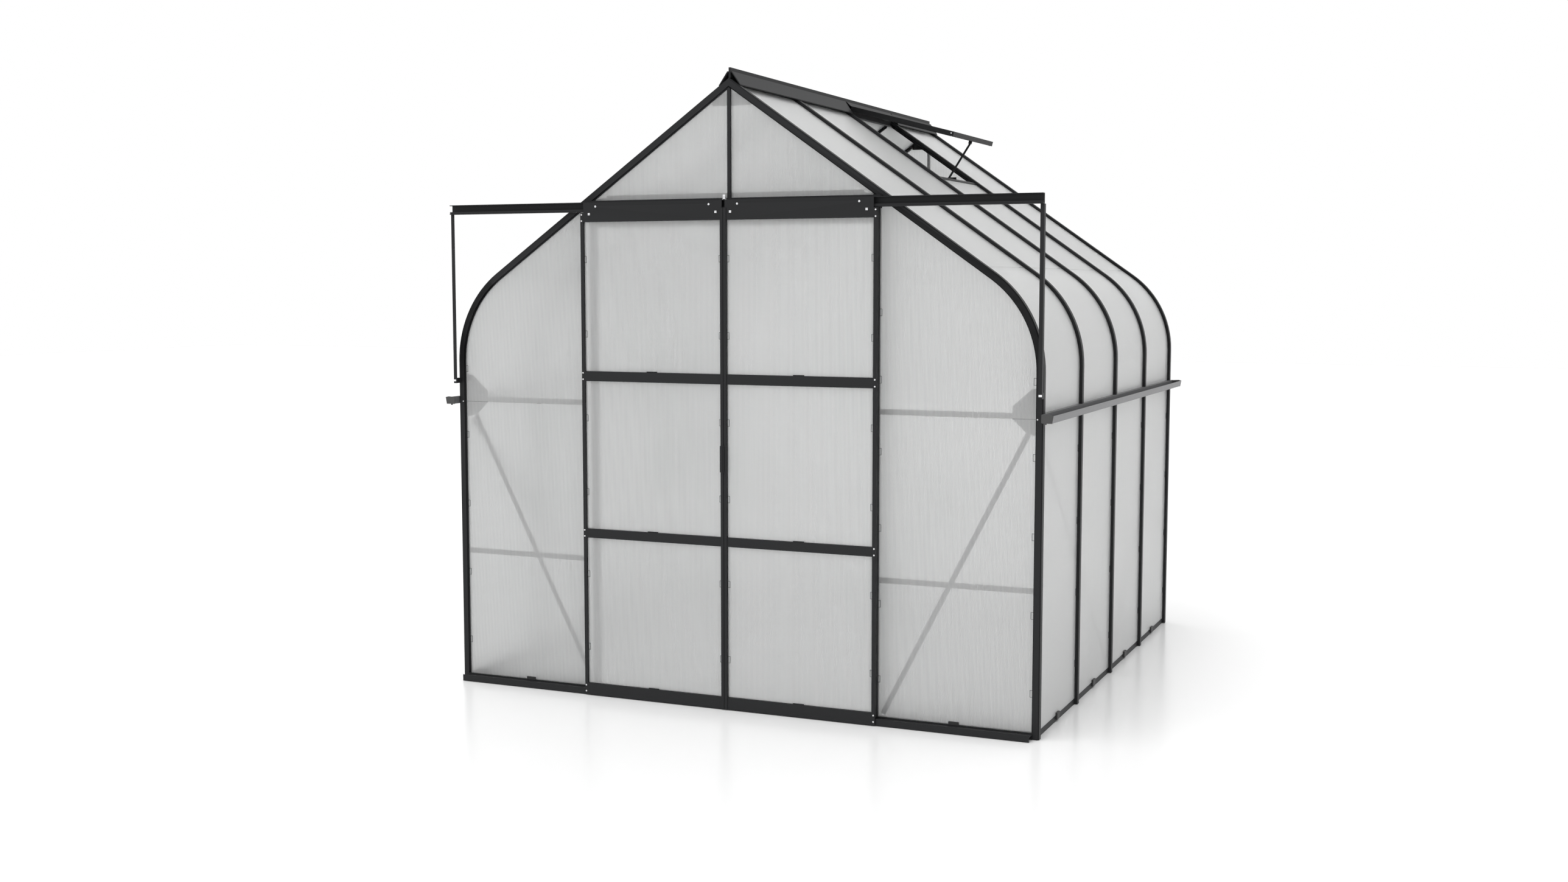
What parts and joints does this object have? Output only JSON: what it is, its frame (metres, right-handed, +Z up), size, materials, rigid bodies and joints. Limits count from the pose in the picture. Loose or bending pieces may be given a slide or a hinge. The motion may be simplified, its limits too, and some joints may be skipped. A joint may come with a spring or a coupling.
{
  "type": "walk-in greenhouse",
  "caption": "Walk-in greenhouse with curved eaves, translucent twin-wall panes, sliding double doors on an outside track, side gutters and a propped roof vent.",
  "frame": {"origin": "on the ground at the middle of the object's box", "axes": "+X across the gable to the right seen from the doors, +Y from the doors to the rear gable, +Z up"},
  "size_m": [2.644, 2.535, 2.5418],
  "materials": {
    "frame_black": "satin powder coat",
    "trim_grey": "satin powder coat, lighter where the sky lights it",
    "twinwall_sheet": "translucent twin-wall sheet with fine flutes",
    "zinc": "bright zinc plate",
    "black_nylon": "moulded"
  },
  "bodies": {
    "root": {"front_sills": "frame_black", "door_threshold": "frame_black", "side_sill_left": "frame_black", "side_sill_right": "frame_black", "rear_sill": "frame_black", "front_post_left": "frame_black", "front_post_right": "frame_black", "rear_posts": "frame_black", "wall_bars_left": "frame_black", "wall_bars_right": "frame_black", "front_gable_bar_left": "frame_black", "front_gable_bar_right": "frame_black", "rear_gable_bars": "frame_black", "roof_bars_left": "frame_black", "roof_bars_right": "frame_black", "ridge_beam": "frame_black", "vent_hinge_rail": "frame_black", "vent_crossbar": "frame_black", "gutter_left": "trim_grey", "gutter_right": "trim_grey", "gutter_end_caps": "black_nylon", "door_jambs": "frame_black", "door_header": "frame_black", "gable_mullion": "frame_black", "rear_mullions": "frame_black", "rear_girts": "frame_black", "front_girts": "frame_black", "front_braces": "frame_black", "side_braces": "frame_black", "gusset_plates": "frame_black", "door_track": "frame_black", "track_legs": "frame_black", "wall_panes": "twinwall_sheet", "eave_panes_left": "twinwall_sheet", "eave_panes_right": "twinwall_sheet", "roof_panes": "twinwall_sheet", "front_panes": "twinwall_sheet", "rear_panes": "twinwall_sheet", "frame_bolts": "zinc"},
    "left_door": {"left_door_stiles": "frame_black", "left_door_top_rail": "frame_black", "left_door_rails": "frame_black", "left_door_panes": "twinwall_sheet", "left_door_handle": "frame_black", "left_door_fixings": "zinc", "left_door_guides": "black_nylon"},
    "left_inner_roller": {"left_inner_roller": "black_nylon"},
    "left_outer_roller": {"left_outer_roller": "black_nylon"},
    "right_door": {"right_door_stiles": "frame_black", "right_door_top_rail": "frame_black", "right_door_rails": "frame_black", "right_door_panes": "twinwall_sheet", "right_door_handle": "frame_black", "right_door_fixings": "zinc", "right_door_guides": "black_nylon"},
    "right_inner_roller": {"right_inner_roller": "black_nylon"},
    "right_outer_roller": {"right_outer_roller": "black_nylon"},
    "roof_vent": {"vent_frame": "frame_black", "vent_pane": "twinwall_sheet"},
    "vent_stay": {"vent_stay": "frame_black"}
  },
  "joints": [
    {"name": "left_door_slide", "type": "slide", "parent": "root", "child": "left_door", "axis": [-1, 0, 0], "range_m": [0, 0.6]},
    {"name": "left_inner_roller_spin", "type": "hinge", "parent": "left_door", "child": "left_inner_roller", "pos_m": [-0.0615, -1.2475, 2.01], "axis": [0, 1, 0], "range_deg": [-3440, 0]},
    {"name": "left_outer_roller_spin", "type": "hinge", "parent": "left_door", "child": "left_outer_roller", "pos_m": [-0.5695, -1.2475, 2.01], "axis": [0, 1, 0], "range_deg": [-3440, 0]},
    {"name": "right_door_slide", "type": "slide", "parent": "root", "child": "right_door", "axis": [1, 0, 0], "range_m": [0, 0.6]},
    {"name": "right_inner_roller_spin", "type": "hinge", "parent": "right_door", "child": "right_inner_roller", "pos_m": [0.0615, -1.2475, 2.01], "axis": [0, 1, 0], "range_deg": [0, 3440]},
    {"name": "right_outer_roller_spin", "type": "hinge", "parent": "right_door", "child": "right_outer_roller", "pos_m": [0.5695, -1.2475, 2.01], "axis": [0, 1, 0], "range_deg": [0, 3440]},
    {"name": "vent_hinge", "type": "hinge", "parent": "root", "child": "roof_vent", "pos_m": [0.033, 0.3195, 2.49796], "axis": [0, -1, 0], "range_deg": [-20, 0]},
    {"name": "stay_pivot", "type": "hinge", "parent": "roof_vent", "child": "vent_stay", "pos_m": [0.51027, 0.319, 2.3473], "axis": [0, -1, 0], "range_deg": [-20, 0]}
  ],
  "couplings": [
    {"joint": "left_inner_roller_spin", "follows": "left_door_slide", "rad_per_m": -100},
    {"joint": "left_outer_roller_spin", "follows": "left_door_slide", "rad_per_m": -100},
    {"joint": "right_inner_roller_spin", "follows": "right_door_slide", "rad_per_m": 100},
    {"joint": "right_outer_roller_spin", "follows": "right_door_slide", "rad_per_m": 100},
    {"joint": "stay_pivot", "follows": "vent_hinge", "ratio": 1}
  ]
}
